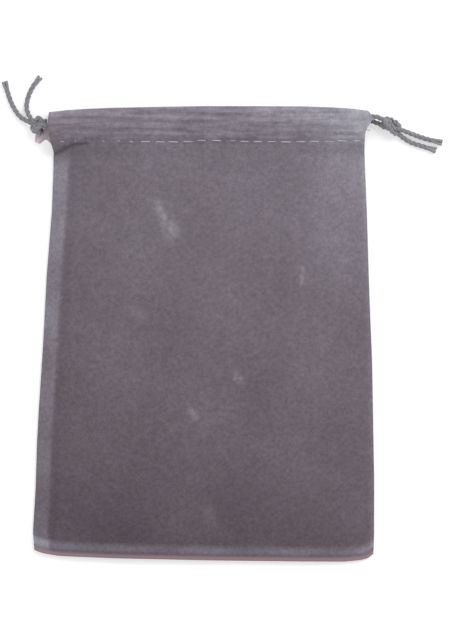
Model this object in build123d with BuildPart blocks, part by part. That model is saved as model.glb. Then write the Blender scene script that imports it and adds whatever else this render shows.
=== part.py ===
from build123d import *
import math
import os

# Drawstring pouch lying on its back: X across, Y up to the mouth, Z up.
# The origin is under the middle of the pouch, on the surface it lies on.
# Every length is in millimetres.

# ---- driving dimensions ---------------------------------------------------
CLOTH = 1.0            # thickness of the velvet
HEM_CLOTH = 0.8        # each wall of a drawcord tunnel
CHANNEL = 2.5          # clear height of a drawcord tunnel
TUNNEL = CHANNEL + 2 * HEM_CLOTH   # 4.1, outside height of a tunnel
MOUTH_RISE = 5.3       # how far the front tunnel arches above its ends
MOUTH_GAP = 0.2        # gap between the two tunnels at their ends

Y_SEW = 76.2           # where panel and tunnel meet
Y_LIP = 78.4           # the sewn lip ends and the tunnel begins
Y_CHAN0, Y_CHAN1 = 79.2, 88.3      # the cord channel
Y_TOP = 91.1           # folded top edge
X_TL, X_TR = -62.6, 66.0           # ends of the tunnels

CORD_D = 2.1           # drawcord diameter
CORD_R = CORD_D / 2
LANE_L, LANE_R = 83.7, 86.75       # Y of the left and the right cord in the channels

STITCH_PITCH = 5.6
STITCH = 3.8           # visible length of a stitch
THREAD = 0.45          # thread width

# left and right edge of the pouch and height of its crown, along Y
SECTIONS = [
    # y,      left,   right,  crown
    (76.2,   -60.3,   64.5,   12.2),
    (50.0,   -61.0,   65.4,   11.2),
    (20.0,   -62.9,   66.3,   10.7),
    (-10.0,  -64.6,   67.4,   10.5),
    (-40.0,  -66.6,   68.0,   10.4),
    (-62.0,  -67.3,   68.3,    9.9),
    (-74.0,  -68.1,   68.3,    8.6),
    (-82.0,  -68.3,   68.2,    6.6),
    (-87.0,  -67.2,   68.1,    4.2),
    (-90.6,  -61.0,   66.5,    1.8),
]
INNER = [
    (77.2,   -58.3,   62.5,   11.2),
    (50.0,   -59.0,   63.4,   10.2),
    (20.0,   -60.9,   64.3,    9.7),
    (-10.0,  -62.6,   65.4,    9.5),
    (-40.0,  -64.6,   66.0,    9.4),
    (-62.0,  -65.3,   66.3,    8.85),
    (-74.0,  -66.1,   66.3,    7.5),
    (-81.5,  -66.3,   66.2,    5.5),
    (-86.2,  -65.3,   66.1,    3.2),
    (-89.4,  -59.5,   64.5,    1.3),
]
# plan outline of both panels
OUTLINE = [
    (-60.3, 76.2), (-60.0, 68.0), (-60.6, 50.0), (-62.8, 24.0), (-64.4, -6.0),
    (-66.0, -30.0), (-66.8, -45.0), (-67.3, -62.0), (-68.4, -79.0), (-68.3, -87.6),
    (-58.2, -88.7), (-37.8, -89.5), (6.6, -90.5), (57.3, -91.1), (67.6, -90.2),
    (68.4, -84.0), (68.3, -58.0), (67.4, -12.0), (66.3, 18.0), (65.1, 58.0),
    (64.5, 76.2),
]

os.makedirs("parts", exist_ok=True)


def crown(left, right, top, base=CLOTH, n=15):
    """Points of a pillow-shaped arch from the left edge to the right."""
    mid, half = (left + right) / 2, (right - left) / 2
    pts = []
    for i in range(n):
        t = -math.cos(math.pi * i / (n - 1))
        pts.append((mid + half * t, base + (top - base) * (1 - t ** 4)))
    return pts


def arch(level):
    """Corner points of the front tunnel's arch, level mm above its underside.

    The underside rises from the back tunnel at both ends to a flat crown, and
    every other level is parallel to it.
    """
    low = TUNNEL + MOUTH_GAP
    cl, cr = X_TL + 21.6, X_TR - 22.5
    al = math.atan2(MOUTH_RISE, cl - X_TL)
    ar = math.atan2(MOUTH_RISE, X_TR - cr)
    top = low + MOUTH_RISE + level
    return [
        (X_TL, low + level / math.cos(al)),
        (cl - level * math.tan(al / 2), top),
        (cr + level * math.tan(ar / 2), top),
        (X_TR, low + level / math.cos(ar)),
    ]


def arch_z(x, level):
    """Height of the arch at x, level mm above its underside."""
    p = arch(level)
    r = 70.0 + level
    for (xa, za), (xc, zc) in (((p[0]), (p[1])), ((p[3]), (p[2]))):
        ang = math.atan2(zc - za, abs(xc - xa))
        tl = r * math.tan(ang / 2)
        side = -1 if xc < 0 else 1
        inner = xc - side * tl
        outer = xc + side * tl * math.cos(ang)
        if side * x > side * outer:
            return za + (zc - za) * (x - xa) / (xc - xa)
        if side * x > side * inner:
            d = abs(x - inner)
            return zc - r + math.sqrt(r * r - d * d)
    return p[1][1]


def band(y0, y1, lo, hi, mode=Mode.ADD):
    """A strip of the arch between two levels, from y0 to y1."""
    with BuildSketch(Plane.XZ.offset(-y1)) as s:
        with BuildLine():
            a, b = arch(hi), arch(lo)
            top = FilletPolyline(*a, radius=70.0 + hi)
            bot = FilletPolyline(*b, radius=70.0 + lo)
            Line(top @ 0, bot @ 0)
            Line(top @ 1, bot @ 1)
        make_face()
    extrude(s.sketch, amount=y1 - y0, mode=mode)


# ---- back panel: flat on the surface ---------------------------------------
with BuildPart() as back_panel:
    with BuildSketch(Plane.XY) as back_sk:
        with BuildLine():
            Polyline(*OUTLINE, close=True)
        make_face()
        fillet(back_sk.vertices().group_by(Axis.Y)[0].sort_by(Axis.X)[-1:], 2.0)
        fillet([v for v in back_sk.vertices() if v.Y < -85 and v.X < -65], 5.0)
        fillet([v for v in back_sk.vertices() if v.Y < -89 and v.X > 66], 2.4)
    extrude(amount=CLOTH)
back_panel.part.label = "back_panel"
export_step(back_panel.part, "parts/back_panel.step")

# ---- front panel: a crowned shell, open at the mouth -----------------------
with BuildPart() as front_panel:
    for y, xl, xr, h in SECTIONS:
        with BuildSketch(Plane.XZ.offset(-y)):
            with BuildLine():
                pts = crown(xl, xr, h)
                Spline(*pts)
                Line(pts[-1], pts[0])
            make_face()
    loft(ruled=True)
    for y, xl, xr, h in INNER:
        with BuildSketch(Plane.XZ.offset(-y)):
            with BuildLine():
                pts = crown(xl, xr, h)
                Spline(*pts)
                Polyline(pts[-1], (pts[-1][0], 0.5), (pts[0][0], 0.5), pts[0])
            make_face()
    loft(ruled=True, mode=Mode.SUBTRACT)
front_panel.part.label = "front_panel"
export_step(front_panel.part, "parts/front_panel.step")

# ---- the two drawcord tunnels ----------------------------------------------
# plan of a tunnel, with its slightly bowed top fold
TUNNEL_PLAN = [
    (X_TL, Y_SEW), (X_TL, 88.6), (-61.2, 89.5), (-40.0, 90.7), (0.0, Y_TOP),
    (40.0, 90.9), (58.0, 90.4), (X_TR, 88.9), (X_TR, Y_SEW),
]

with BuildPart() as front_casing:
    band(Y_LIP, Y_TOP, 0.0, TUNNEL)
    band(Y_SEW, Y_LIP, 1.05, 3.05)
    with BuildSketch(Plane.XY):
        with BuildLine():
            Polyline(*TUNNEL_PLAN, close=True)
        make_face()
    extrude(amount=30, mode=Mode.INTERSECT)
    band(Y_CHAN0, Y_CHAN1, HEM_CLOTH, HEM_CLOTH + CHANNEL, mode=Mode.SUBTRACT)
    # the inner wall is slit at both ends, where a cord turns round to the back
    for x in (X_TL, X_TR):
        with BuildSketch(Plane.XY):
            with Locations((x, (Y_CHAN0 + Y_CHAN1) / 2 + 1.1)):
                Rectangle(13.0, Y_CHAN1 - Y_CHAN0 - 2.2)
        extrude(amount=TUNNEL + MOUTH_GAP + HEM_CLOTH + 2.2, mode=Mode.SUBTRACT)
front_casing.part.label = "front_casing"
export_step(front_casing.part, "parts/front_casing.step")

with BuildPart() as back_casing:
    with BuildSketch(Plane.XY):
        with BuildLine():
            Polyline(*TUNNEL_PLAN, close=True)
        make_face()
    extrude(amount=TUNNEL)
    # the lip beside the panel is only two layers thick
    with BuildSketch(Plane.XY.offset(2 * CLOTH)):
        with Locations(((X_TL + X_TR) / 2, (Y_SEW + Y_LIP) / 2)):
            Rectangle(X_TR - X_TL, Y_LIP - Y_SEW)
    extrude(amount=TUNNEL, mode=Mode.SUBTRACT)
    with BuildSketch(Plane.XY.offset(HEM_CLOTH)):
        with Locations(((X_TL + X_TR) / 2, (Y_CHAN0 + Y_CHAN1) / 2)):
            Rectangle(X_TR - X_TL, Y_CHAN1 - Y_CHAN0)
    extrude(amount=CHANNEL, mode=Mode.SUBTRACT)
    for x in (X_TL, X_TR):
        with BuildSketch(Plane.XY.offset(HEM_CLOTH)):
            with Locations((x, (Y_CHAN0 + Y_CHAN1) / 2 + 1.1)):
                Rectangle(13.0, Y_CHAN1 - Y_CHAN0 - 2.2)
        extrude(amount=TUNNEL, mode=Mode.SUBTRACT)
back_casing.part.label = "back_casing"
export_step(back_casing.part, "parts/back_casing.step")

# ---- seam allowances, turned inside ----------------------------------------
SEAM_W = 6.5           # width of a seam allowance
SEAM_T = 1.8           # its two layers, pressed

with BuildPart() as left_seam_allowance:
    for y, xl in ((74.0, -58.0), (50.0, -58.9), (20.0, -60.8), (-10.0, -62.4),
                  (-40.0, -64.4), (-62.0, -65.0), (-72.0, -65.4), (-78.0, -65.6)):
        with BuildSketch(Plane.XZ.offset(-y)):
            with BuildLine():
                Polyline((xl + 0.8, CLOTH), (xl + 0.8 + SEAM_W, CLOTH),
                         (xl + 0.8 + SEAM_W, CLOTH + SEAM_T),
                         (xl + 5.6, CLOTH + SEAM_T), (xl + 1.6, CLOTH + 0.1),
                         close=True)
            make_face()
    loft(ruled=True)
left_seam_allowance.part.label = "left_seam_allowance"
export_step(left_seam_allowance.part, "parts/left_seam_allowance.step")

with BuildPart() as bottom_seam_allowance:
    with BuildSketch(Plane.YZ.offset(-55.0)):
        with BuildLine():
            Polyline((-86.4, CLOTH), (-86.4 + SEAM_W, CLOTH),
                     (-86.4 + SEAM_W, CLOTH + SEAM_T), (-83.2, CLOTH + SEAM_T),
                     (-86.0, CLOTH + 0.2), close=True)
        make_face()
    extrude(amount=111.0)
bottom_seam_allowance.part.label = "bottom_seam_allowance"
export_step(bottom_seam_allowance.part, "parts/bottom_seam_allowance.step")

# ---- thread ----------------------------------------------------------------
# every stitch is a short flat bar of thread lying on the cloth it is sewn through
N_CASING = 22
X_FIRST = -57.0

with BuildPart() as front_casing_stitches:
    for i in range(N_CASING):
        x = X_FIRST + i * STITCH_PITCH
        za, zb = arch_z(x - STITCH / 2, 3.05), arch_z(x + STITCH / 2, 3.05)
        z = max((za + zb) / 2, arch_z(x, 3.05)) + 0.04
        tilt = math.degrees(math.atan2(zb - za, STITCH))
        place = Plane(origin=(x, 77.3, z), x_dir=(math.cos(math.radians(tilt)), 0, math.sin(math.radians(tilt))), z_dir=(-math.sin(math.radians(tilt)), 0, math.cos(math.radians(tilt))))
        with BuildSketch(place):
            SlotOverall(STITCH, THREAD)
        extrude(amount=0.3)
front_casing_stitches.part.label = "front_casing_stitches"
export_step(front_casing_stitches.part, "parts/front_casing_stitches.step")

with BuildPart() as back_casing_stitches:
    with BuildSketch(Plane.XY.offset(2 * CLOTH)):
        with Locations(*[(X_FIRST + i * STITCH_PITCH, 77.3) for i in range(N_CASING)]):
            SlotOverall(STITCH, THREAD)
    extrude(amount=0.3)
back_casing_stitches.part.label = "back_casing_stitches"
export_step(back_casing_stitches.part, "parts/back_casing_stitches.step")

with BuildPart() as bottom_seam_stitches:
    with BuildSketch(Plane.XY.offset(CLOTH + SEAM_T)):
        with Locations(*[(-52.0 + i * STITCH_PITCH, -81.8) for i in range(20)]):
            SlotOverall(STITCH, THREAD)
    extrude(amount=0.3)
bottom_seam_stitches.part.label = "bottom_seam_stitches"
export_step(bottom_seam_stitches.part, "parts/bottom_seam_stitches.step")

with BuildPart() as left_seam_stitches:
    with BuildSketch(Plane.XY.offset(CLOTH + SEAM_T)):
        for i in range(26):
            y = -74.0 + i * STITCH_PITCH
            x = -52.0 - (70.0 - y) / 144.0 * 7.4
            with Locations((x, y)):
                SlotOverall(STITCH, THREAD, rotation=93)
    extrude(amount=0.3)
left_seam_stitches.part.label = "left_seam_stitches"
export_step(left_seam_stitches.part, "parts/left_seam_stitches.step")

# ---- the end of the seam allowance that shows at the left slit -------------
with BuildPart() as left_slit_flap:
    with BuildSketch(Plane.XY):
        with BuildLine():
            Polyline((X_TL, 84.0), (-67.2, 81.2), (-68.0, 77.6), (X_TL, 77.0), close=True)
        make_face()
    extrude(amount=HEM_CLOTH)
left_slit_flap.part.label = "left_slit_flap"
export_step(left_slit_flap.part, "parts/left_slit_flap.step")


# ---- drawcords -------------------------------------------------------------
def report_radii(name, pts, radii):
    print(name, "radii", [round(r, 1) for r in radii])
    total = 0.0
    for a, b in zip(pts, pts[1:]):
        total += (Vector(*b) - Vector(*a)).length
    print(name, "runs add up to", round(total, 1))


def bend_radii(pts, cap=70.0):
    """Each corner's radius: 0.45 of its shorter run over the tangent of half its turn."""
    out = []
    for a, b, c in zip(pts, pts[1:], pts[2:]):
        u, v = Vector(*b) - Vector(*a), Vector(*c) - Vector(*b)
        turn = math.radians(u.get_angle(v))
        out.append(min(0.45 * min(u.length, v.length) / math.tan(turn / 2), cap))
    return out


CH_LEVEL = HEM_CLOTH + CHANNEL / 2     # the middle of the front channel
BACK_Z = HEM_CLOTH + CHANNEL / 2       # the middle of the back channel
A = arch(CH_LEVEL)

LEFT_KNOT = (-66.3, 84.2, 3.9)
RIGHT_KNOT = (75.0, 83.9, 3.5)

# left cord: out of the knot, along the front channel, round the right slit and
# back along the rear channel into the knot
LEFT_ROUTE = [
    (-65.6, 84.1, 4.9),
    (-61.0, LANE_L, arch_z(-61.0, CH_LEVEL)),
    (A[1][0], LANE_L, A[1][1]),
    (A[2][0], LANE_L, A[2][1]),
    (63.0, LANE_L, arch_z(63.0, CH_LEVEL)),
    (63.0, LANE_L, BACK_Z),
    (30.0, LANE_L, BACK_Z),
    (-30.0, LANE_L + 0.05, BACK_Z),
    (-61.0, LANE_L, BACK_Z),
    (-65.6, 84.2, 2.9),
]
LEFT_RADII = [8.0, 70.0 + CH_LEVEL, 70.0 + CH_LEVEL, 2.2, 2.2, 70.0, 70.0, 8.0]

# right cord: the same, turning round the left slit
RIGHT_ROUTE = [
    (73.6, 84.9, 4.3),
    (69.6, 87.3, 5.4),
    (64.0, LANE_R, arch_z(64.0, CH_LEVEL)),
    (A[2][0], LANE_R, A[2][1]),
    (A[1][0], LANE_R, A[1][1]),
    (-60.0, LANE_R, arch_z(-60.0, CH_LEVEL)),
    (-60.0, LANE_R, BACK_Z),
    (-30.0, LANE_R, BACK_Z),
    (30.0, LANE_R + 0.05, BACK_Z),
    (64.0, LANE_R, BACK_Z),
    (68.9, 85.6, 2.1),
    (73.6, 83.4, 3.0),
]
RIGHT_RADII = [5.0, 9.0, 70.0 + CH_LEVEL, 70.0 + CH_LEVEL, 2.2, 2.2, 70.0, 70.0, 8.0, 8.0]

LEFT_TAIL_OUTER = [
    (-67.5, 83.5, 3.2), (-71.7, 85.2, 2.2), (-75.2, 88.9, 1.15), (-77.6, 93.8, 1.15), (-80.0, 101.9, 1.15),
]
LEFT_TAIL_INNER = [
    (-67.6, 86.0, 4.8), (-70.6, 89.0, 2.8), (-71.4, 93.0, 1.15), (-69.4, 99.2, 1.15), (-65.7, 104.0, 1.15),
]
RIGHT_TAIL_UPPER = [
    (76.4, 84.2, 4.3), (80.9, 82.4, 2.9), (85.6, 79.7, 1.2), (90.4, 78.3, 1.15), (95.9, 77.1, 1.15),
]
RIGHT_TAIL_LOWER = [
    (76.6, 81.8, 2.6), (79.0, 78.9, 1.3), (83.2, 76.9, 1.15), (88.0, 75.7, 1.15), (93.4, 73.8, 1.15),
]


def knot(centre, half_len, half_wid, turn):
    """An overhand knot as one closed egg of its outer shape."""
    plane = Plane(origin=centre, x_dir=(math.cos(math.radians(turn)), math.sin(math.radians(turn)), 0), z_dir=(0, 0, 1))
    with BuildPart() as k:
        with BuildSketch(plane):
            Ellipse(half_len, half_wid)
            Rectangle(2.2 * half_len, 2.2 * half_wid, align=(Align.CENTER, Align.MIN), mode=Mode.INTERSECT)
        revolve(axis=Axis(centre, tuple(plane.x_dir)))
    return k


def tube(pts, radii, knot_part):
    """A cord's tube along straight runs and tangent arcs, cut where it enters its knot."""
    with BuildPart() as t:
        with BuildLine():
            path = FilletPolyline(*pts, radius=radii)
        with BuildSketch(Plane(origin=path @ 0, z_dir=path % 0)):
            Circle(CORD_R)
        sweep(path=path)
        print("   tube volume", round(t.part.volume, 1), "section x length", round(math.pi * CORD_R ** 2 * path.length, 1), "length", round(path.length, 1))
        add(knot_part, mode=Mode.SUBTRACT)
    return t


left_knot = knot(LEFT_KNOT, 3.9, 3.3, 10)
left_knot.part.label = "left_knot"
export_step(left_knot.part, "parts/left_knot.step")

right_knot = knot(RIGHT_KNOT, 4.1, 3.2, -35)
right_knot.part.label = "right_knot"
export_step(right_knot.part, "parts/right_knot.step")

report_radii("left_cord", LEFT_ROUTE, LEFT_RADII)
left_cord = tube(LEFT_ROUTE, LEFT_RADII, left_knot.part)
left_cord.part.label = "left_cord"
export_step(left_cord.part, "parts/left_cord.step")

report_radii("right_cord", RIGHT_ROUTE, RIGHT_RADII)
right_cord = tube(RIGHT_ROUTE, RIGHT_RADII, right_knot.part)
right_cord.part.label = "right_cord"
export_step(right_cord.part, "parts/right_cord.step")

report_radii("left_tail_outer", LEFT_TAIL_OUTER, bend_radii(LEFT_TAIL_OUTER))
left_tail_outer = tube(LEFT_TAIL_OUTER, bend_radii(LEFT_TAIL_OUTER), left_knot.part)
left_tail_outer.part.label = "left_tail_outer"
export_step(left_tail_outer.part, "parts/left_tail_outer.step")

report_radii("left_tail_inner", LEFT_TAIL_INNER, bend_radii(LEFT_TAIL_INNER))
left_tail_inner = tube(LEFT_TAIL_INNER, bend_radii(LEFT_TAIL_INNER), left_knot.part)
left_tail_inner.part.label = "left_tail_inner"
export_step(left_tail_inner.part, "parts/left_tail_inner.step")

report_radii("right_tail_upper", RIGHT_TAIL_UPPER, bend_radii(RIGHT_TAIL_UPPER))
right_tail_upper = tube(RIGHT_TAIL_UPPER, bend_radii(RIGHT_TAIL_UPPER), right_knot.part)
right_tail_upper.part.label = "right_tail_upper"
export_step(right_tail_upper.part, "parts/right_tail_upper.step")

report_radii("right_tail_lower", RIGHT_TAIL_LOWER, bend_radii(RIGHT_TAIL_LOWER))
right_tail_lower = tube(RIGHT_TAIL_LOWER, bend_radii(RIGHT_TAIL_LOWER), right_knot.part)
right_tail_lower.part.label = "right_tail_lower"
export_step(right_tail_lower.part, "parts/right_tail_lower.step")
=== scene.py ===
import math

import bpy
import numpy as np
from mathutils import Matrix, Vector


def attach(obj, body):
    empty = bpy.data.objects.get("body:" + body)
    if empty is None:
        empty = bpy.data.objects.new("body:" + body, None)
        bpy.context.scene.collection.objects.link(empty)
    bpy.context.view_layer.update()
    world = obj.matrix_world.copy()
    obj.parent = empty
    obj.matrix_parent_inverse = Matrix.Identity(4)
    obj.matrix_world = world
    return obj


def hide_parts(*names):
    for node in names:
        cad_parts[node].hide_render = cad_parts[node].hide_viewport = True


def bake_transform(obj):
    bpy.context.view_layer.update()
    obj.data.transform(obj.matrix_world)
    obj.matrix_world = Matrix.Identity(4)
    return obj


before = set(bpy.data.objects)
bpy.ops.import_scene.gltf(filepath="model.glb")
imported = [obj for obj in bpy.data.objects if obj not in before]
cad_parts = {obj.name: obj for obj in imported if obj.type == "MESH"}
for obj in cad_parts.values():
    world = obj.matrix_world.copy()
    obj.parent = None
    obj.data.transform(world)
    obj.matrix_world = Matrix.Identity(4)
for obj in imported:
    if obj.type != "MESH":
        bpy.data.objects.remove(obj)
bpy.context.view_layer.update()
MM = 0.001


# ---------------------------------------------------------------- camera
cam_data = bpy.data.cameras.new("camera")
cam_data.sensor_fit = "HORIZONTAL"
cam_data.sensor_width = 36.0
cam_data.lens = 36.0 * 1.592 / 0.180
cam_data.clip_end = 20.0
cam = bpy.data.objects.new("camera", cam_data)
cam.location = (0.00856, 0.00838, 1.6)
bpy.context.scene.collection.objects.link(cam)
bpy.context.scene.camera = cam


# ---------------------------------------------------------------- helpers
def smooth(a, b, x):
    t = np.clip((np.asarray(x, float) - a) / (b - a), 0, 1)
    return t * t * (3 - 2 * t)


def obj_from(name, verts, faces, shade=True):
    me = bpy.data.meshes.new(name)
    me.from_pydata([tuple(v) for v in verts], [], [tuple(f) for f in faces])
    me.update()
    if shade:
        me.polygons.foreach_set("use_smooth", [True] * len(me.polygons))
    ob = bpy.data.objects.new(name, me)
    bpy.context.scene.collection.objects.link(ob)
    return ob


def attr(ob, name, values):
    a = ob.data.attributes.new(name, "FLOAT", "POINT")
    a.data.foreach_set("value", np.asarray(values, np.float32))


def s2l(c):
    return tuple(((v / 255.0) / 12.92 if v / 255.0 <= 0.04045 else ((v / 255.0 + 0.055) / 1.055) ** 2.4) for v in c)


class Nodes:
    """A short hand for shader nodes."""

    def __init__(self, name):
        self.mat = bpy.data.materials.new(name)
        self.mat.use_nodes = True
        self.t = self.mat.node_tree
        self.bsdf = self.t.nodes["Principled BSDF"]

    def new(self, kind, **inputs):
        n = self.t.nodes.new(kind)
        for k, v in inputs.items():
            n.inputs[k.replace("_", " ")].default_value = v
        return n

    def link(self, a, b):
        self.t.links.new(a, b)

    def noise(self, scale, detail=4.0, rough=0.6, vector=None):
        n = self.new("ShaderNodeTexNoise", Scale=scale, Detail=detail, Roughness=rough)
        if vector is not None:
            self.link(vector, n.inputs["Vector"])
        return n

    def ramp(self, fac, stops):
        n = self.t.nodes.new("ShaderNodeValToRGB")
        e = n.color_ramp.elements
        e[0].position, e[0].color = stops[0][0], (*stops[0][1], 1)
        e[1].position, e[1].color = stops[-1][0], (*stops[-1][1], 1)
        for p, c in stops[1:-1]:
            x = e.new(p)
            x.color = (*c, 1)
        self.link(fac, n.inputs["Fac"])
        return n.outputs["Color"]

    def mix(self, fac, a, b, mode="MIX"):
        n = self.t.nodes.new("ShaderNodeMix")
        n.data_type = "RGBA"
        n.blend_type = mode
        for sock, v in ((n.inputs[0], fac), (n.inputs[6], a), (n.inputs[7], b)):
            if isinstance(v, bpy.types.NodeSocket):
                self.link(v, sock)
            elif isinstance(v, tuple):
                sock.default_value = (*v, 1)
            else:
                sock.default_value = v
        return n.outputs[2]

    def math(self, op, a, b=0.0):
        n = self.t.nodes.new("ShaderNodeMath")
        n.operation = op
        for sock, v in ((n.inputs[0], a), (n.inputs[1], b)):
            if isinstance(v, bpy.types.NodeSocket):
                self.link(v, sock)
            else:
                sock.default_value = v
        return n.outputs[0]

    def attribute(self, name):
        n = self.t.nodes.new("ShaderNodeAttribute")
        n.attribute_name = name
        return n.outputs["Fac"]

    def bump(self, height, strength, distance):
        n = self.new("ShaderNodeBump", Strength=strength, Distance=distance)
        self.link(height, n.inputs["Height"])
        self.link(n.outputs["Normal"], self.bsdf.inputs["Normal"])


# ---------------------------------------------------------------- materials
def velvet():
    m = Nodes("velvet")
    co = m.new("ShaderNodeTexCoord").outputs["Object"]
    light = m.attribute("painted_shading")          # 0 dark .. 1 light: painted light and shade over the bag, lighter at the upper right
    base = m.ramp(light, [(0.0, s2l((84, 73, 82))), (0.35, s2l((106, 97, 105))), (0.7, s2l((128, 121, 130))), (1.0, s2l((150, 148, 158)))])
    mott = m.noise(170.0, 5.0, 0.65, co).outputs["Fac"]
    base = m.mix(m.math("MULTIPLY", mott, 0.9), base, m.ramp(mott, [(0.3, (0.84, 0.83, 0.84)), (0.7, (1.15, 1.15, 1.15))]), "MULTIPLY")
    grain = m.noise(620.0, 3.0, 0.7, co).outputs["Fac"]
    base = m.mix(0.8, base, m.ramp(grain, [(0.3, (0.79, 0.78, 0.79)), (0.7, (1.22, 1.22, 1.22))]), "MULTIPLY")
    fine = m.noise(2600.0, 3.0, 0.7, co).outputs["Fac"]
    base = m.mix(0.75, base, m.ramp(fine, [(0.3, (0.72, 0.71, 0.72)), (0.7, (1.25, 1.25, 1.25))]), "MULTIPLY")
    mp = m.t.nodes.new("ShaderNodeMapping")
    mp.inputs["Scale"].default_value = (70.0, 640.0, 200.0)
    m.link(co, mp.inputs["Vector"])
    drag = m.noise(1.0, 3.0, 0.6, mp.outputs["Vector"]).outputs["Fac"]
    base = m.mix(m.attribute("hem"), base, m.ramp(drag, [(0.32, (0.72, 0.71, 0.73)), (0.68, (1.3, 1.3, 1.3))]), "MULTIPLY")
    worn = m.ramp(m.noise(420.0, 4.0, 0.7, co).outputs["Fac"], [(0.36, (0.15, 0.15, 0.15)), (0.62, (1.0, 1.0, 1.0))])
    base = m.mix(m.math("MULTIPLY", m.attribute("scuff"), worn), base, s2l((178, 177, 182)))
    # dark marks: painted shade in the crease at the left tunnel end, a small spot and a line along the sewn row
    base = m.mix(m.attribute("dark"), base, s2l((58, 48, 56)))
    base = m.mix(m.attribute("pink"), base, s2l((162, 136, 143)))
    m.link(base, m.bsdf.inputs["Base Color"])
    m.bsdf.inputs["Roughness"].default_value = 0.95
    m.bsdf.inputs["Specular IOR Level"].default_value = 0.1
    m.bsdf.inputs["Sheen Weight"].default_value = 0.35
    m.bsdf.inputs["Sheen Roughness"].default_value = 0.4
    m.bsdf.inputs["Sheen Tint"].default_value = (0.85, 0.83, 0.88, 1)
    m.bump(m.math("ADD", m.math("MULTIPLY", mott, 0.6), fine), 0.5, 0.00025)
    return m.mat


def plain(name, dark, lightc, scale, rough=0.8, sheen=0.2, bump=0.0002):
    m = Nodes(name)
    co = m.new("ShaderNodeTexCoord").outputs["Object"]
    f = m.noise(scale, 4.0, 0.6, co).outputs["Fac"]
    m.link(m.ramp(f, [(0.25, s2l(dark)), (0.75, s2l(lightc))]), m.bsdf.inputs["Base Color"])
    m.bsdf.inputs["Roughness"].default_value = rough
    m.bsdf.inputs["Sheen Weight"].default_value = sheen
    m.bump(m.noise(scale * 3.0, 2.0, 0.5, co).outputs["Fac"], 0.4, bump)
    return m.mat


def rope():
    m = Nodes("cord")
    co = m.new("ShaderNodeTexCoord").outputs["Object"]
    f = m.noise(900.0, 4.0, 0.7, co).outputs["Fac"]
    g = m.noise(160.0, 2.0, 0.5, co).outputs["Fac"]
    c = m.ramp(f, [(0.25, s2l((104, 102, 106))), (0.75, s2l((164, 163, 168)))])
    c = m.mix(m.math("MULTIPLY", g, 0.4), c, s2l((128, 123, 132)))
    c = m.mix(m.attribute("pale"), c, s2l((178, 177, 178)))
    m.link(c, m.bsdf.inputs["Base Color"])
    m.bsdf.inputs["Roughness"].default_value = 0.62
    m.bsdf.inputs["Sheen Weight"].default_value = 0.25
    m.bump(f, 0.35, 0.0002)
    return m.mat


VELVET = velvet()
CORD = rope()
THREAD = plain("thread", (160, 156, 163), (190, 187, 193), 1500.0)
BACKING = plain("backing", (214, 188, 195), (240, 224, 229), 1300.0)
SEAM = plain("seam_edge", (96, 86, 94), (128, 116, 124), 700.0)


# ---------------------------------------------------------------- the cloth
LEFT = [(-91.2, -67.6), (-87.6, -67.8), (-79, -68.4), (-62, -67.3), (-45, -66.8), (-30, -66.0), (-6, -64.4), (24, -62.8),
        (50, -60.7), (68, -60.1), (74, -60.2), (79, -61.6), (84, -62.4), (91.2, -61.6)]
RIGHT = [(-91.2, 67.8), (-84, 68.3), (-58, 68.3), (-12, 67.5), (18, 66.3), (48, 65.4), (66, 64.7), (76, 64.4), (81.3, 64.7),
         (83.4, 65.6), (85.4, 67.3), (88.2, 67.4), (89.6, 65.4), (91.2, 63.0)]
BOTTOM = [(-68.4, -86.0), (-66.8, -86.9), (-64, -87.7), (-58.2, -88.6), (-37.8, -89.4), (6.6, -90.4), (40, -90.8), (57.3, -90.9),
          (64, -90.2), (67.0, -89.2), (68.4, -87.0)]
TOP = [(-62.6, 88.9), (-61.2, 89.3), (-55, 89.7), (-40, 90.3), (0, 91.0), (40, 90.9), (54, 90.5), (60, 90.2), (66.6, 89.2)]
H = [(-91.1, 1.6), (-87, 4.0), (-82, 6.3), (-74, 8.3), (-62, 9.6), (-40, 10.2), (-10, 10.4), (20, 10.6), (50, 11.0), (76.2, 12.0)]


def lut(table, v):
    a = np.array(table)
    return np.interp(v, a[:, 0], a[:, 1])


def smooth_lut(table, v, k=2.5):
    return sum(w * lut(table, np.asarray(v) + d * k) for d, w in ((-1, 0.25), (-0.5, 0.25), (0, 0.0), (0.5, 0.25), (1, 0.25)))


def arch_low(x):
    """Underside of the front tunnel."""
    t = np.where(x < 0, (-x - 41.0) / 21.6, (x - 43.5) / 22.5)
    d = np.log1p(np.exp(np.clip(t * 6.0, -30, 30))) / 6.0
    return 4.3 + 5.3 * np.clip(1.0 - d, -0.1, 1)


def gather(x, y):
    """Soft upright ripples that fade out below the mouth."""
    g = smooth(48, 84, y)
    return g * (0.30 * np.sin(x * 0.66 + 0.8 * np.sin(x * 0.11)) + 0.14 * np.sin(x * 1.25 + 1.7))


def wrinkle(x, y):
    w = 0.22 * np.sin(0.071 * x + 0.043 * y + 1.0) * np.sin(0.052 * y - 0.03 * x)
    w += 0.12 * np.sin(0.16 * x - 0.07 * y) * np.sin(0.12 * y + 0.09 * x + 2.0)
    w += 0.05 * np.sin(0.41 * x + 0.3 * y) * np.sin(0.37 * y - 0.2 * x)
    return w


def seg_dist(x, y, a, b):
    ax, ay = a
    bx, by = b
    L2 = (bx - ax) ** 2 + (by - ay) ** 2
    t = np.clip(((x - ax) * (bx - ax) + (y - ay) * (by - ay)) / L2, 0, 1)
    return np.hypot(x - ax - t * (bx - ax), y - ay - t * (by - ay)), t


def line_mask(x, y, pts, width):
    m = np.zeros_like(x)
    for a, b in zip(pts, pts[1:]):
        d, t = seg_dist(x, y, a, b)
        m = np.maximum(m, np.exp(-(d / width) ** 2))
    return m


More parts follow.
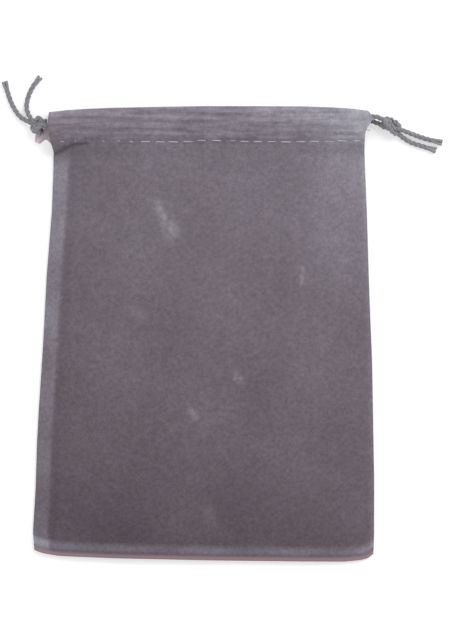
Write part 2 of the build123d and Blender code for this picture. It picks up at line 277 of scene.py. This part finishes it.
def plan(u, v):
    """u from -1 at the left edge to 1 at the right, v in 0..1 from the bottom to the top."""
    xb = -68.0 + (u + 1) * 0.5 * 136.0
    y0, y1 = smooth_lut(BOTTOM, xb, 1.2), smooth_lut(TOP, xb * 0.96, 2.0)
    y = y0 + (y1 - y0) * v
    xl, xr = smooth_lut(LEFT, y, 1.0), smooth_lut(RIGHT, y, 1.0)
    x = np.where(u < 0, -u * xl, u * xr)
    return x, y


def front_z(u, x, y):
    body = 0.9 + (smooth_lut(H, y, 3.0) - 0.9) * (1 - np.abs(u) ** 4)
    tunnel = arch_low(x) + 3.55
    k = smooth(71.0, 78.2, y)
    z = body * (1 - k) + tunnel * k
    # the sewn row pinches the layers, the tunnel swells over the cords and folds at the top
    z -= 0.95 * np.exp(-((y - 77.3) / 1.1) ** 2) * (1 - np.abs(u) ** 10)
    z += 0.35 * np.exp(-((y - 84.8) / 4.0) ** 2)
    # ridges of the pressed seam allowances
    xl = smooth_lut(LEFT, y, 2.0)
    z += 0.42 * smooth(6.6, 5.2, x - xl) * smooth(0.0, 2.0, x - xl) * smooth(75, 68, y)
    yb = smooth_lut(BOTTOM, x, 1.2)
    z += 0.40 * smooth(5.6, 4.4, y - yb) * smooth(0.0, 1.6, y - yb)
    z -= 0.7 * line_mask(x, y, [(-59.5, 73.2), (-56.0, 74.6), (-52.2, 76.2), (-46.5, 76.6)], 1.2)
    z += gather(x, y) + wrinkle(x, y) * (1 - np.abs(u) ** 8)
    return np.maximum(z, 0.9)


def painted_shading(x, y):
    """Painted light and shade on the velvet: lighter at the upper right, dark at the bottom."""
    n = 0.44 + 0.0019 * y + 0.00045 * x
    n += 0.20 * smooth(20, 60, x) * smooth(0, 70, y)
    n += 0.17 * smooth(74, 90, y)
    n -= 0.12 * np.exp(-((x + 45) / 22) ** 2 - ((y + 66) / 22) ** 2)
    n -= 0.10 * smooth(-40, -80, y) * smooth(-70, -20, -np.abs(x))
    xl, xr = smooth_lut(LEFT, y, 2.0), smooth_lut(RIGHT, y, 2.0)
    yb = smooth_lut(BOTTOM, x, 1.2)
    # painted highlights on the left and bottom seam ridges and at the right fold edge, and a painted shade line just
    # inside the left ridge
    n += (0.30 + 0.05 * np.sin(0.21 * y)) * smooth(6.6, 5.0, x - xl) * smooth(76, 66, y)
    n -= 0.05 * np.exp(-((x - xl - 8.0) / 1.6) ** 2)
    n += 0.14 * smooth(2.4, 0.8, xr - x)
    n += (0.40 + 0.07 * np.sin(0.19 * x + 1.0)) * smooth(6.6, 4.4, y - yb) * smooth(1.6, 2.8, y - yb)
    n += 0.05 * np.sin(0.12 * x + 0.05 * y) * np.sin(0.08 * y - 0.04 * x + 1.0)
    # lengthwise streaks on the tunnel
    n += smooth(76, 80, y) * 0.035 * np.sin(1.9 * y + 0.06 * x)
    return np.clip(n, 0, 1)


SCUFFS = [
    ([(-18.0, 51.5), (-15.0, 45.5), (-12.4, 41.0)], 1.9, 0.52),
    ([(-13.8, 44.5), (-12.0, 40.5)], 3.2, 0.40),
    ([(39.5, 26.5), (39.2, 21.0)], 1.0, 0.34),
    ([(13.0, -16.0), (14.6, -18.6)], 1.5, 0.36),
    ([(-5.0, -30.0), (-3.4, -32.6)], 1.4, 0.32),
    ([(-60.0, 88.0), (-52.0, 88.8)], 1.6, 0.42),
    ([(59.0, 87.0), (62.0, 82.5)], 1.8, 0.45),
    ([(-28.0, 10.0), (-25.0, 8.0)], 2.0, 0.18),
    ([(2.0, -71.0), (3.0, -75.0)], 2.2, 0.14),
    ([(-22.0, 54.0), (-14.0, 52.0), (-6.0, 50.0)], 1.6, 0.10),
]


def weight(x, y):
    """A weight per point, growing from the middle towards the sides and towards the mouth."""
    return np.clip(np.abs(x) / 63.0, 0, 1.03) * smooth(-5, 78, y) ** 1.2


def cloth(name, side, surface, vs, back=False, thick=0.8):
    """One half of a cloth face: the outside up to the top fold, then the hem down inside it."""
    nu = 76
    us = np.linspace(0, 1, nu)
    us = us * side
    U, V = np.meshgrid(us, vs)
    P, nrm_sign = surface(U, V)
    ny, nx = U.shape
    du = np.gradient(P, axis=1)
    dv = np.gradient(P, axis=0)
    n = np.cross(du, dv)
    n /= np.linalg.norm(n, axis=2, keepdims=True) + 1e-12
    n *= nrm_sign * side
    top = P + n * thick * 0.5
    bot = P - n * thick * 0.5
    verts = np.concatenate([top.reshape(-1, 3), bot.reshape(-1, 3)]) * MM
    faces = []
    N = ny * nx
    flip = (side * nrm_sign) < 0

    def q(a, b, c, d):
        faces.append((a, d, c, b) if flip else (a, b, c, d))

    for j in range(ny - 1):
        for i in range(nx - 1):
            a = j * nx + i
            q(a, a + 1, a + 1 + nx, a + nx)
            q(N + a, N + a + nx, N + a + 1 + nx, N + a + 1)
    for i in range(nx - 1):
        q(i, N + i, N + i + 1, i + 1)
        a = (ny - 1) * nx + i
        q(a, a + 1, N + a + 1, N + a)
    for j in range(ny - 1):
        a = j * nx
        q(a, a + nx, N + a + nx, N + a)
        a = j * nx + nx - 1
        q(a, N + a, N + a + nx, a + nx)
    ob = obj_from(name, verts, faces)
    # the rim is a cut edge: it does not bend the normals of the two faces
    rim = np.zeros(2 * N, bool)
    grid = np.arange(N).reshape(ny, nx)
    for edge in (grid[:, 0], grid[:, -1], grid[0], grid[-1]):
        rim[edge] = True
        rim[edge + N] = True
    me = ob.data
    ev = np.zeros(len(me.edges) * 2, int)
    me.edges.foreach_get("vertices", ev)
    ev = ev.reshape(-1, 2)
    same = (ev[:, 0] < N) == (ev[:, 1] < N)
    me.edges.foreach_set("use_edge_sharp", (rim[ev[:, 0]] & rim[ev[:, 1]] & same).tolist())
    X, Y = P[..., 0].ravel(), P[..., 1].ravel()
    X2, Y2 = np.tile(X, 2), np.tile(Y, 2)
    # painted light and shade: lighter at the upper right, darker at the bottom, pale seam ridges
    attr(ob, "painted_shading", painted_shading(X2, Y2))
    sc = np.zeros_like(X2)
    dk = np.zeros_like(X2)
    pk = np.zeros_like(X2)
    if not back:
        for pts, w, s in SCUFFS:
            sc = np.maximum(sc, s * line_mask(X2, Y2, pts, w))
        # painted shade in the crease under the left end of the tunnel; also a small dark spot and a faint dark line
        # along the sewn row
        dk = 0.6 * line_mask(X2, Y2, [(-59.0, 73.2), (-56.6, 74.2), (-55.0, 75.0)], 1.0)
        dk = np.maximum(dk, 0.6 * line_mask(X2, Y2, [(-55, 75.0), (-52.2, 76.2), (-46.5, 76.6)], 0.8))
        dk = np.maximum(dk, 0.35 * line_mask(X2, Y2, [(20.0, 16.0), (20.6, 15.6)], 0.7))
        dk = np.maximum(dk, 0.16 * line_mask(X2, Y2, [(-46.0, 76.4), (63.0, 76.2)], 0.7))
        pk = 0.22 * line_mask(X2, Y2, [(-61.0, 85.4), (-54.5, 85.6)], 1.0)
        sc = np.maximum(sc, 0.22 * line_mask(X2, Y2, [(-13.0, 80.4), (27.0, 80.6)], 0.35))
        sc = np.maximum(sc, 0.35 * np.exp(-((X2 - 63.8) / 2.6) ** 2 - ((Y2 - 86.5) / 3.0) ** 2))
    yb = smooth_lut(BOTTOM, X2, 1.2)
    pk = np.maximum(pk, 0.8 * smooth(2.2, 1.0, Y2 - yb))
    attr(ob, "hem", 0.75 * smooth(76.5, 79.0, Y2))
    attr(ob, "scuff", sc)
    attr(ob, "dark", dk)
    attr(ob, "pink", pk)
    ob.data.materials.append(VELVET)
    return ob, weight(X2, Y2)


Y_FOLD = 1.0


def path_front(U, V):
    """V 0..1 outside, 1..1.04 the fold, 1.04..1.12 the hem inside."""
    Vc = np.minimum(V, 1.0)
    x, y = plan(U, Vc)
    z = front_z(U, x, np.minimum(y, 89.4))
    r = 1.6
    zt = front_z(U, x, np.full_like(y, 88.0))
    lo = arch_low(x) + 0.5
    # round the top fold over the last millimetres
    ytop = plan(U, np.ones_like(V))[1]
    near = np.clip((y - (ytop - r)) / r, 0, 1)
    mid = (zt + lo) / 2
    half = (zt - lo) / 2
    z = np.where(y > ytop - r, mid + half * np.sqrt(np.clip(1 - near ** 2, 0, 1)), z)
    a = np.clip((V - 1.0) / 0.03, 0, 1)
    yh = ytop - r + r * np.cos(a * math.pi / 2)
    zh = mid - half * np.sin(a * math.pi / 2)
    b = np.clip((V - 1.03) / 0.1, 0, 1)
    yh = np.where(V > 1.03, (ytop - r) - b * (ytop - r - 77.6), yh)
    inner = lo + gather(x, yh) * 0.6
    inner = inner + b ** 6 * 0.0 + smooth(80.5, 77.6, yh) * 1.3
    zh = np.where(V > 1.03, inner, zh)
    y = np.where(V > 1.0, yh, y)
    z = np.where(V > 1.0, zh, z)
    xe = np.where(U < 0, -U * (smooth_lut(LEFT, y, 1.0) + 0.7), U * (smooth_lut(RIGHT, y, 1.0) - 0.7))
    k = np.clip((V - 1.0) / 0.03, 0, 1)
    x = np.where(V > 1.0, x * (1 - k) + xe * k, x)
    return np.stack([x, y, z], axis=2), 1.0


def path_back(U, V):
    Vc = np.minimum(V, 1.0)
    x, y = plan(U, Vc)
    z = np.full_like(x, 0.42)
    ytop = plan(U, np.ones_like(V))[1]
    r = 1.6
    lo, hi = 0.42, 3.7
    mid, half = (lo + hi) / 2, (hi - lo) / 2
    near = np.clip((y - (ytop - r)) / r, 0, 1)
    z = np.where(y > ytop - r, mid - half * np.sqrt(np.clip(1 - near ** 2, 0, 1)), z)
    a = np.clip((V - 1.0) / 0.03, 0, 1)
    yh = ytop - r + r * np.cos(a * math.pi / 2)
    zh = mid + half * np.sin(a * math.pi / 2)
    b = np.clip((V - 1.03) / 0.1, 0, 1)
    yh = np.where(V > 1.03, (ytop - r) - b * (ytop - r - 77.6), yh)
    inner = hi + 0.5 * gather(x, yh) - smooth(80.5, 77.6, yh) * 2.4
    zh = np.where(V > 1.03, inner, zh)
    y = np.where(V > 1.0, yh, y)
    z = np.where(V > 1.0, zh, z)
    xe = np.where(U < 0, -U * (smooth_lut(LEFT, y, 1.0) + 0.7), U * (smooth_lut(RIGHT, y, 1.0) - 0.7))
    k = np.clip((V - 1.0) / 0.03, 0, 1)
    x = np.where(V > 1.0, x * (1 - k) + xe * k, x)
    return np.stack([x, y, z], axis=2), 1.0


VS = np.concatenate([np.linspace(0, 0.9, 150), np.linspace(0.9, 0.985, 34)[1:], np.linspace(0.985, 1.0, 10)[1:],
                     np.linspace(1.0, 1.03, 6)[1:], np.linspace(1.03, 1.13, 16)[1:]])


def joined(ob):
    """Bakes the object's placement into its mesh."""
    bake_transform(ob)


for side, tag in ((-1, "left"), (1, "right")):
    ob, w = cloth(f"front_cloth_{tag}", side, path_front, VS)
    joined(ob)
    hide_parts("front_panel", "front_casing")
    ob, w = cloth(f"back_cloth_{tag}", side, path_back, VS, back=True)
    joined(ob)
    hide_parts("back_panel", "back_casing")


# ---------------------------------------------------------------- stitches
def capsule(a, b, r, seg=8):
    """A short round-ended thread from a to b, arched a little."""
    a, b = np.array(a, float), np.array(b, float)
    d = b - a
    L = np.linalg.norm(d)
    d /= L
    up = np.array([0, 0, 1.0])
    s = np.cross(d, up)
    s /= np.linalg.norm(s)
    up = np.cross(s, d)
    rings = []
    for t, k in ((0.0, 0.35), (0.07, 0.85), (0.25, 1.0), (0.5, 1.05), (0.75, 1.0), (0.93, 0.85), (1.0, 0.35)):
        c = a + d * L * t + up * (0.22 * (1 - (2 * t - 1) ** 2))
        rings.append([c + r * k * (math.cos(q) * s + 0.75 * math.sin(q) * up) for q in np.linspace(0, 2 * math.pi, seg, endpoint=False)])
    v = [p for ring in rings for p in ring]
    f = []
    for j in range(len(rings) - 1):
        for i in range(seg):
            f.append((j * seg + i, j * seg + (i + 1) % seg, (j + 1) * seg + (i + 1) % seg, (j + 1) * seg + i))
    f.append(tuple(range(seg))[::-1])
    f.append(tuple((len(rings) - 1) * seg + i for i in range(seg)))
    return v, f


def stitch_height(x, y):
    xs = np.array([x]) if np.isscalar(x) else x
    xl, xr = smooth_lut(LEFT, y, 2.0), smooth_lut(RIGHT, y, 2.0)
    u = np.where(xs < 0, -xs / xl, xs / xr)
    return front_z(u, xs, np.full_like(xs, y)) + 0.4


rng = np.random.default_rng(7)
for side, tag in ((-1, "left"), (1, "right")):
    for face in ("front", "back"):
        V, F, off = [], [], 0
        for i in range(22):
            x = -56.6 + i * 5.6 + rng.uniform(-0.25, 0.25)
            y = 77.3 + 0.25 * math.sin(i * 0.7) + rng.uniform(-0.12, 0.12)
            half = 1.9 + rng.uniform(-0.3, 0.2)
            if (x < 0) != (side < 0):
                continue
            if face == "front":
                if x < -24:
                    half *= 0.55        # buried in the pile here
                za, zb = (float(stitch_height(np.array([q]), y)[0]) for q in (x - half, x + half))
                sink = 0.26 if x < -24 else 0.02
                v, f = capsule((x - half, y, za - sink), (x + half, y + rng.uniform(-0.15, 0.15), zb - sink), 0.27)
            else:
                v, f = capsule((x - half, 77.4, 1.55), (x + half, 77.4, 1.55), 0.25)
            V += v
            F += [tuple(k + off for k in q) for q in f]
            off += len(v)
        ob = obj_from(f"{face}_stitches_{tag}", np.array(V) * MM, F)
        ob.data.materials.append(THREAD)
        A = np.array(V)
        joined(ob)
        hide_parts("front_casing_stitches" if face == "front" else "back_casing_stitches")

v1, f1 = capsule((64.2, 82.9, 5.2), (65.9, 82.0, 4.6), 0.16)
v2, f2 = capsule((65.6, 82.15, 4.7), (67.0, 81.9, 4.1), 0.13)
ob = obj_from("thread_end", np.array(v1 + v2) * MM, f1 + [tuple(k + len(v1) for k in q) for q in f2])
ob.data.materials.append(THREAD)
A = np.array(v1 + v2)
joined(ob)

# ---------------------------------------------------------------- seams, flap
def strip(name, pts, width, z0, z1, n_cross=8, material=None):
    """A pressed, slightly wavy strip of two raw edges along pts."""
    pts = np.array(pts, float)
    V, F = [], []
    m = len(pts)
    for j, (x, y) in enumerate(pts):
        d = pts[min(j + 1, m - 1)] - pts[max(j - 1, 0)]
        d /= np.linalg.norm(d)
        nrm = np.array([d[1], -d[0]])
        for k in range(n_cross):
            t = k / (n_cross - 1)
            p = np.array([x, y]) + nrm * width * t
            z = z1 - (z1 - z0) * (1 - t) ** 2 * 0.9 + 0.08 * math.sin(j * 0.8 + 3 * t)
            V.append((p[0], p[1], z))
            V.append((p[0], p[1], z0))
    for j in range(m - 1):
        for k in range(n_cross - 1):
            a = (j * n_cross + k) * 2
            b = a + 2
            c = a + n_cross * 2
            e = c + 2
            F.append((a, c, e, b))
            F.append((a + 1, b + 1, e + 1, c + 1))
        for k, fl in ((0, False), (n_cross - 1, True)):
            a = (j * n_cross + k) * 2
            c = a + n_cross * 2
            F.append((a, a + 1, c + 1, c) if not fl else (a, c, c + 1, a + 1))
    for j, fl in ((0, False), (m - 1, True)):
        for k in range(n_cross - 1):
            a = (j * n_cross + k) * 2
            F.append((a, a + 2, a + 3, a + 1) if not fl else (a, a + 1, a + 3, a + 2))
    ob = obj_from(name, np.array(V) * MM, F)
    ob.data.materials.append(material or SEAM)
    return ob, np.array(V)


pts = [(float(smooth_lut(LEFT, y, 2.0)) + 2.3, y) for y in np.linspace(-78, 60, 70)]
ob, A = strip("left_seam_edges", pts, 6.0, 1.0, 2.7)
joined(ob)
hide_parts("left_seam_allowance", "left_seam_stitches")
pts = [(x, -86.2) for x in np.linspace(55, -54, 60)]
ob, A = strip("bottom_seam_edges", pts, 6.0, 1.0, 2.7)
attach(ob, "pouch")
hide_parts("bottom_seam_allowance", "bottom_seam_stitches")

# the pale end of the seam allowance at the left slit
V, F = [], []
nu, nv = 12, 14
for lay in (0, 1):
    for j in range(nv):
        t = j / (nv - 1)
        xe = -68.0 + 0.9 * t + 5.2 * max(0.0, t - 0.62) ** 1.0 * 2.2
        if t < 0.1:
            xe += (0.1 - t) * 22
        for i in range(nu):
            s = i / (nu - 1)
            x = -61.2 + (xe + 61.2) * s
            y0 = 76.7 + 1.7 * math.sin(math.pi * s) ** 1.5
            y = y0 + (84.6 - 1.0 * s - y0) * t
            z = 0.75 + 0.9 * s * s + 0.25 * math.sin(5 * t + 2 * s) * s
            V.append((x, y, z + (0.4 if lay else -0.35)))
N = nu * nv
for j in range(nv - 1):
    for i in range(nu - 1):
        a = j * nu + i
        F.append((a, a + 1, a + 1 + nu, a + nu))
        F.append((N + a, N + a + nu, N + a + 1 + nu, N + a + 1))
for i in range(nu - 1):
    F.append((i, N + i, N + i + 1, i + 1))
    a = (nv - 1) * nu + i
    F.append((a, a + 1, N + a + 1, N + a))
for j in range(nv - 1):
    a = j * nu
    F.append((a, a + nu, N + a + nu, N + a))
    a = j * nu + nu - 1
    F.append((a, N + a, N + a + nu, a + nu))
ob = obj_from("left_slit_end", np.array(V) * MM, F)
ob.data.materials.append(BACKING)
A = np.array(V)
joined(ob)
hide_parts("left_slit_flap")


# ---------------------------------------------------------------- drawcords
def route(name, pts):
    """The NURBS line through the route's points, in metres."""
    cu = bpy.data.curves.new(name, "CURVE")
    cu.dimensions = "3D"
    sp = cu.splines.new("NURBS")
    sp.points.add(len(pts) - 1)
    for p, q in zip(sp.points, pts):
        p.co = (q[0] * MM, q[1] * MM, q[2] * MM, 1.0)
    sp.order_u = 3
    sp.use_endpoint_u = True
    sp.resolution_u = 24
    ob = bpy.data.objects.new(name, cu)
    me = bpy.data.meshes.new_from_object(ob)
    line = np.array([v.co for v in me.vertices])
    bpy.data.objects.remove(ob)
    bpy.data.meshes.remove(me)
    return line


def resample(line, step):
    d = np.concatenate([[0], np.cumsum(np.linalg.norm(np.diff(line, axis=0), axis=1))])
    n = max(int(d[-1] / step), 8)
    s = np.linspace(0, d[-1], n + 1)
    return np.stack([np.interp(s, d, line[:, k]) for k in range(3)], axis=1), s


def frames(line, closed=False):
    t = np.gradient(line, axis=0)
    t /= np.linalg.norm(t, axis=1, keepdims=True)
    n = np.zeros_like(line)
    a = np.cross(t[0], [0, 0, 1.0])
    if np.linalg.norm(a) < 1e-6:
        a = np.array([1.0, 0, 0])
    n[0] = a / np.linalg.norm(a)
    for i in range(1, len(line)):
        v = n[i - 1] - t[i] * np.dot(n[i - 1], t[i])
        n[i] = v / np.linalg.norm(v)
    return t, n, np.cross(t, n)


def strands(line, s, dia, lay, flare=None, seg=7, closed=False):
    """Three strands laid round the line. flare opens them out at the cut ends."""
    t, n, b = frames(line)
    V, F, P = [], [], []
    m = len(line)
    sr, off = dia * 0.27, dia * 0.235
    for k in range(3):
        base = len(V)
        for i in range(m):
            sc = min(max(s[i], flare or 0.0), s[-1] - (flare or 0.0))
            ph = 2 * math.pi * (sc / lay + k / 3)
            fl = 0.0
            if flare:
                e = min(s[i], s[-1] - s[i])
                fl = max(0.0, 1 - e / flare)
            o = off * (1 + 1.0 * fl ** 1.3)
            c = line[i] + o * (math.cos(ph) * n[i] + math.sin(ph) * b[i])
            if fl > 0:
                c[2] = max(c[2], sr * 1.02)
            rr = sr * (1 + 0.12 * math.sin(2 * math.pi * s[i] / 0.0007 + k) * 0.4 + 0.05 * fl)
            if i in (0, m - 1) and not closed:
                rr *= 0.55
            for q in range(seg):
                an = 2 * math.pi * q / seg
                V.append(c + rr * (math.cos(an) * n[i] + math.sin(an) * b[i]))
                P.append(fl * 0.3)
        for i in range(m - 1):
            for q in range(seg):
                a0, a1 = base + i * seg + q, base + i * seg + (q + 1) % seg
                F.append((a0, a1, a1 + seg, a0 + seg))
        F.append(tuple(base + q for q in range(seg))[::-1])
        F.append(tuple(base + (m - 1) * seg + q for q in range(seg)))
    return V, F, P


def knot_line(centre, size, turn, n=220):
    """A pulled-tight overhand knot: the trefoil line squeezed to the knot's size."""
    q = np.linspace(0, 2 * math.pi, n)
    R, r = 1.0, 0.42
    x = (R + r * np.cos(3 * q)) * np.cos(2 * q)
    y = (R + r * np.cos(3 * q)) * np.sin(2 * q)
    z = r * 1.5 * np.sin(3 * q)
    p = np.stack([z * size[0], x * size[1], y * size[2]], axis=1)
    c, s_ = math.cos(math.radians(turn)), math.sin(math.radians(turn))
    p = np.stack([p[:, 0] * c - p[:, 1] * s_, p[:, 0] * s_ + p[:, 1] * c, p[:, 2]], axis=1)
    return (p + np.array(centre)) * MM


CORDS = {
    "left": dict(
        pts=[(-80.0, 101.9, 1.2), (-78.6, 97.0, 1.15), (-77.2, 92.8, 1.15), (-74.2, 87.8, 1.3), (-70.6, 85.6, 2.2), (-66.6, 84.3, 4.2),
             (-62.0, 83.7, 6.5), (-52.0, 83.7, 9.0), (-41.0, 83.7, 11.6), (-20.0, 83.7, 11.65), (20.0, 83.7, 11.65), (43.5, 83.7, 11.6), (54.0, 83.7, 9.2),
             (61.5, 83.7, 7.2), (63.2, 83.7, 5.6), (63.2, 83.7, 3.3), (61.0, 83.7, 2.05),
             (30.0, 83.7, 2.05), (-30.0, 83.75, 2.05), (-60.0, 83.7, 2.05), (-64.0, 84.0, 2.6), (-66.8, 84.7, 3.6),
             (-69.4, 86.6, 3.2), (-71.2, 90.4, 1.8), (-71.0, 94.2, 1.2), (-69.2, 99.2, 1.15), (-65.7, 103.9, 1.2)],
        knot=(-66.2, 84.0, 3.9), size=(4.5, 1.55, 1.5), turn=64, exit=(-0.0626, 0.0837, 0.00635), n_rest=1),
    "right": dict(
        pts=[(95.9, 77.1, 1.2), (91.9, 78.0, 1.15), (87.3, 79.3, 1.2), (82.4, 81.1, 2.0), (78.6, 82.4, 3.2), (75.2, 84.1, 4.0),
             (72.0, 86.2, 4.9), (69.2, 87.6, 5.5), (65.5, 87.2, 6.0), (60.0, 86.75, 7.4), (43.5, 86.75, 11.6), (20.0, 86.75, 11.65), (-20.0, 86.75, 11.65), (-41.0, 86.75, 11.6),
             (-51.0, 86.75, 9.2), (-58.6, 86.75, 7.3), (-60.4, 86.75, 5.6), (-60.4, 86.75, 3.3), (-58.0, 86.75, 2.05),
             (-30.0, 86.75, 2.05), (30.0, 86.8, 2.05), (60.0, 86.75, 2.05), (66.0, 86.3, 2.05), (69.8, 85.0, 2.3), (73.4, 83.4, 3.0),
             (76.8, 81.9, 2.6), (79.6, 79.4, 1.5), (83.4, 77.0, 1.15), (88.2, 75.7, 1.15), (93.4, 73.9, 1.2)],
        knot=(75.0, 83.9, 3.5), size=(5.6, 1.6, 1.5), turn=-30, exit=(0.0678, 0.0862, 0.0056), n_rest=1),
}
for tag, c in CORDS.items():
    body = f"{tag}_drawcord"
    line = route(f"{tag}_route", c["pts"])
    line, s = resample(line, 0.00055)
    V, F, P = strands(line, s, 0.0021, 0.0062, flare=0.0036)
    ob = obj_from(f"{tag}_drawcord_strands", V, F)
    attr(ob, "pale", P)
    ob.data.materials.append(CORD)
    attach(ob, body)
    tails = ("left_tail_outer", "left_tail_inner") if tag == "left" else ("right_tail_upper", "right_tail_lower")
    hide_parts(f"{tag}_cord", *tails)
    kl, ks = resample(knot_line(c["knot"], c["size"], c["turn"]), 0.0005)
    V, F, P = strands(kl, ks, 0.0021, 0.0062)
    kn = obj_from(f"{tag}_overhand_knot", V, F)
    attr(kn, "pale", P)
    kn.data.materials.append(CORD)
    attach(kn, body)
    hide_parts(f"{tag}_knot")

# ---------------------------------------------------------------- floor and light
floor_mat = Nodes("floor")
floor_mat.bsdf.inputs["Base Color"].default_value = (0.93, 0.93, 0.93, 1)
floor_mat.bsdf.inputs["Roughness"].default_value = 0.9
floor_mat.bsdf.inputs["Emission Color"].default_value = (1, 1, 1, 1)
floor_mat.bsdf.inputs["Emission Strength"].default_value = 0.30
fl = obj_from("floor", [(-4, -4, -0.0002), (4, -4, -0.0002), (4, 4, -0.0002), (-4, 4, -0.0002)], [(0, 1, 2, 3)], shade=False)
fl.data.materials.append(floor_mat.mat)

world = bpy.data.worlds.new("studio")
bpy.context.scene.world = world
world.use_nodes = True
world.node_tree.nodes["Background"].inputs["Color"].default_value = (1, 1, 1, 1)
world.node_tree.nodes["Background"].inputs["Strength"].default_value = 0.62
for nm, loc, size, power in (("key", (0.55, 0.75, 1.0), 0.8, 8.0), ("fill", (-0.8, -0.4, 1.1), 1.2, 2.5)):
    ld = bpy.data.lights.new(nm, "AREA")
    ld.size = size
    ld.energy = power
    lo = bpy.data.objects.new(nm, ld)
    lo.location = loc
    lo.rotation_euler = (Vector((0, 0, 0)) - Vector(loc)).to_track_quat("-Z", "Y").to_euler()
    bpy.context.scene.collection.objects.link(lo)
bpy.context.scene.view_settings.view_transform = "Standard"
